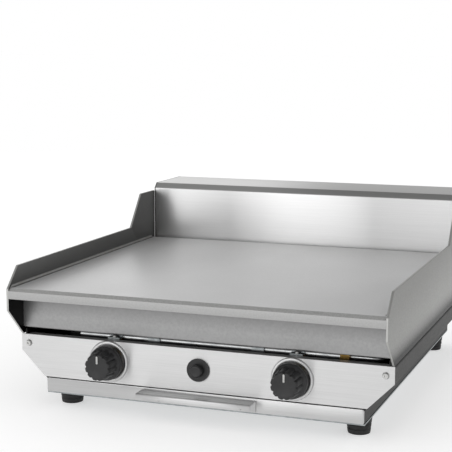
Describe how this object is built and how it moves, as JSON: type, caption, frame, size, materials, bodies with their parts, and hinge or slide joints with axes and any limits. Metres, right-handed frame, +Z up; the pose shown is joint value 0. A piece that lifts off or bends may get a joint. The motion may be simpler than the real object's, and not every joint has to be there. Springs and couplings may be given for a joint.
{
  "type": "plancha griddle",
  "caption": "Table-top gas plancha: thick steel plate between bevelled side guards, lift-off from a burner base with splash back box, push-and-turn knobs and sliding drip tray.",
  "frame": {"origin": "centre of the bounding box's footprint, on the surface that the rubber feet stand on", "axes": "+X to the right seen by the cook, +Y from the cook towards the splash back, +Z up"},
  "size_m": [0.425, 0.51, 0.2135],
  "materials": {
    "griddle_steel": "fine-blasted and lightly tempered thick plate",
    "side_steel": "laser-cut plate, satin, slightly tempered",
    "weld_seam": "ground weld",
    "brushed_stainless": "fine brushed stainless sheet",
    "base_steel": "satin stainless sheet",
    "burner_steel": "heat-tinted stainless tube",
    "galvanised": "zinc-plated sheet",
    "screw_steel": "plated screws",
    "brass": "machined brass",
    "pipe_metal": "drawn aluminium pipe",
    "knob_plastic": "fine-grained heat-resistant plastic",
    "rubber": "matt moulded rubber",
    "ceramic": "glazed white ceramic",
    "lead_sheath": "silicone sheath",
    "tray_steel": "bright cold-rolled stainless sheet"
  },
  "bodies": {
    "base": {"back_panel": "brushed_stainless", "left_end_cap": "base_steel", "right_end_cap": "base_steel", "rear_cover": "base_steel", "rear_screws": "screw_steel", "left_base_side": "base_steel", "right_base_side": "base_steel", "bottom_plate": "galvanised", "burner_box": "base_steel", "control_panel": "brushed_stainless", "panel_screws": "screw_steel", "grease_gutter": "base_steel", "gutter_spout": "base_steel", "tray_rails": "galvanised", "rubber_feet": "rubber", "foot_screws": "screw_steel", "foot_nuts": "screw_steel", "left_burner": "burner_steel", "right_burner": "burner_steel", "burner_brackets": "galvanised", "gas_manifold": "pipe_metal", "manifold_brackets": "galvanised", "manifold_clamps": "galvanised", "clamp_screws": "screw_steel", "left_tap_body": "brass", "right_tap_body": "brass", "tap_bonnets": "brass", "injectors": "brass", "knob_bezels": "brushed_stainless", "igniter_body": "knob_plastic", "igniter_nut": "knob_plastic", "spark_electrodes": "ceramic", "left_spark_lead": "lead_sheath", "right_spark_lead": "lead_sheath", "left_flame_sensor": "brass", "right_flame_sensor": "brass", "supply_pipe": "pipe_metal", "pipe_nuts": "brass", "inlet_fitting": "brass", "inlet_nut": "brass"},
    "griddle_top": {"griddle_plate": "griddle_steel", "left_side_plate": "side_steel", "right_side_plate": "side_steel", "corner_seams": "weld_seam", "front_apron": "side_steel", "locating_lugs": "side_steel"},
    "tray": {"drip_tray": "tray_steel", "tray_sides": "tray_steel", "tray_ends": "tray_steel", "tray_front": "brushed_stainless", "tray_pull": "brushed_stainless", "tray_screws": "screw_steel"},
    "left_tap_turn": {"left_tap_plug": "brass"},
    "left_tap_push": {"left_tap_stem": "brass", "left_knob": "knob_plastic"},
    "right_tap_turn": {"right_tap_plug": "brass"},
    "right_tap_push": {"right_tap_stem": "brass", "right_knob": "knob_plastic"},
    "igniter_push": {"igniter_button": "knob_plastic"}
  },
  "joints": [
    {"name": "griddle_lift", "type": "slide", "parent": "base", "child": "griddle_top", "axis": [0, 0, 1], "range_m": [0, 0.12]},
    {"name": "tray_slide", "type": "slide", "parent": "base", "child": "tray", "axis": [0, -1, 0], "range_m": [0, 0.3]},
    {"name": "igniter_travel", "type": "slide", "parent": "base", "child": "igniter_push", "axis": [0, 1, 0], "range_m": [0, 0.005], "stiffness_N_per_m": 800, "springref_m": -0.003},
    {"name": "left_tap_angle", "type": "hinge", "parent": "base", "child": "left_tap_turn", "pos_m": [-0.105, -0.2085, 0.06], "axis": [0, -1, 0], "range_deg": [0, 180]},
    {"name": "left_tap_travel", "type": "slide", "parent": "left_tap_turn", "child": "left_tap_push", "axis": [0, 1, 0], "range_m": [0, 0.003], "stiffness_N_per_m": 800, "springref_m": -0.003},
    {"name": "right_tap_angle", "type": "hinge", "parent": "base", "child": "right_tap_turn", "pos_m": [0.105, -0.2085, 0.06], "axis": [0, -1, 0], "range_deg": [0, 180]},
    {"name": "right_tap_travel", "type": "slide", "parent": "right_tap_turn", "child": "right_tap_push", "axis": [0, 1, 0], "range_m": [0, 0.003], "stiffness_N_per_m": 800, "springref_m": -0.003}
  ]
}
